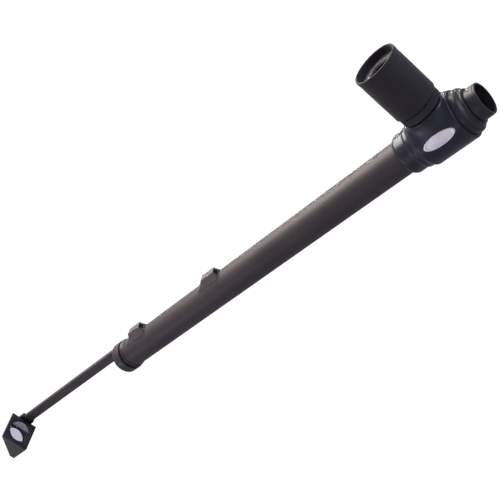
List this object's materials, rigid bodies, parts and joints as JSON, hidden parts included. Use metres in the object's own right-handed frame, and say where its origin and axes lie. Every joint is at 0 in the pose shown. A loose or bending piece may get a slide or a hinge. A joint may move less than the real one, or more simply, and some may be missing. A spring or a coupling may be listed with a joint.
{
  "type": "right-angle viewing telescope",
  "caption": "Long slim telescope with a right-angle diagonal head, focusing eyepiece with rubber cup, open rear port, sighting lugs and a turning prism on a side arm.",
  "frame": {"origin": "centre of the rear port's mouth", "axes": "+X along the tube and out of the rear port, +Z along the eyepiece, +Y towards the arm and the flip knob"},
  "size_m": [0.9326, 0.063, 0.1272],
  "materials": {
    "tube_paint": "satin black enamel",
    "head_enamel": "semi-gloss blue-black enamel on a casting",
    "black_anodised": "black anodised, fine turned",
    "arm_paint": "satin dark grey paint on a drawn bar",
    "housing_paint": "satin near-black paint on sheet metal",
    "matt_black": "matt black inside finish",
    "rubber_black": "moulded rubber",
    "pad_foam": "dense foam",
    "optical_glass": "coated optical glass",
    "silvered": "first-surface mirror",
    "steel": "bright steel",
    "black_steel": "blackened steel",
    "bronze": "bearing bronze",
    "badge_alloy": "satin alloy, plain"
  },
  "bodies": {
    "telescope": {"main_tube": "tube_paint", "tube_baffles": "matt_black", "sight_screws": "black_steel", "front_sight": "tube_paint", "rear_sight": "tube_paint", "head_body": "head_enamel", "rear_cover": "black_anodised", "port_sleeve": "black_anodised", "badge_plate": "badge_alloy", "shaft_bushes": "bronze", "friction_washer": "bronze", "focuser_guide": "black_anodised", "keeper_ring": "steel", "key_screw": "steel", "objective_cell": "black_anodised", "objective_crown": "optical_glass", "objective_flint": "optical_glass", "objective_spacer": "matt_black", "objective_retainer": "matt_black", "retaining_clip": "black_steel"},
    "mirror_flip": {"flip_mirror": "silvered", "mirror_carrier": "matt_black", "mirror_shaft": "steel", "flip_knob": "black_anodised", "knob_screw": "black_steel"},
    "focus_collar": {"focus_ring": "black_anodised"},
    "eyepiece": {"draw_tube": "matt_black", "eyepiece_barrel": "black_anodised", "eyecup": "rubber_black", "eye_bezel": "black_anodised", "field_stop": "matt_black", "lens_spacer": "matt_black", "eye_lens_cell": "matt_black", "field_lens": "optical_glass", "eye_lens": "optical_glass"},
    "prism_unit": {"end_ring": "black_anodised", "end_cap": "black_anodised", "prism_arm": "arm_paint", "arm_screws": "black_steel", "arm_bracket": "arm_paint", "bracket_screws": "black_steel", "front_plate": "housing_paint", "bottom_plate": "housing_paint", "near_side_plate": "housing_paint", "far_side_plate": "housing_paint", "prism_cover": "housing_paint", "prism_pad": "pad_foam", "right_angle_prism": "optical_glass"}
  },
  "joints": [
    {"name": "prism_turn", "type": "hinge", "parent": "telescope", "child": "prism_unit", "pos_m": [-0.6036, 0, 0], "axis": [1, 0, 0], "continuous": true},
    {"name": "mirror_swing", "type": "hinge", "parent": "telescope", "child": "mirror_flip", "pos_m": [-0.06568, 0, -0.01662], "axis": [0, 1, 0], "range_deg": [0, 45]},
    {"name": "focus_turn", "type": "hinge", "parent": "telescope", "child": "focus_collar", "pos_m": [-0.0526, 0, 0.0358], "axis": [0, 0, -1], "range_deg": [0, 200]},
    {"name": "focus_travel", "type": "slide", "parent": "telescope", "child": "eyepiece", "axis": [0, 0, 1], "range_m": [0, 0.008]}
  ],
  "couplings": [
    {"joint": "focus_turn", "follows": "focus_travel", "rad_per_m": 436.33}
  ]
}
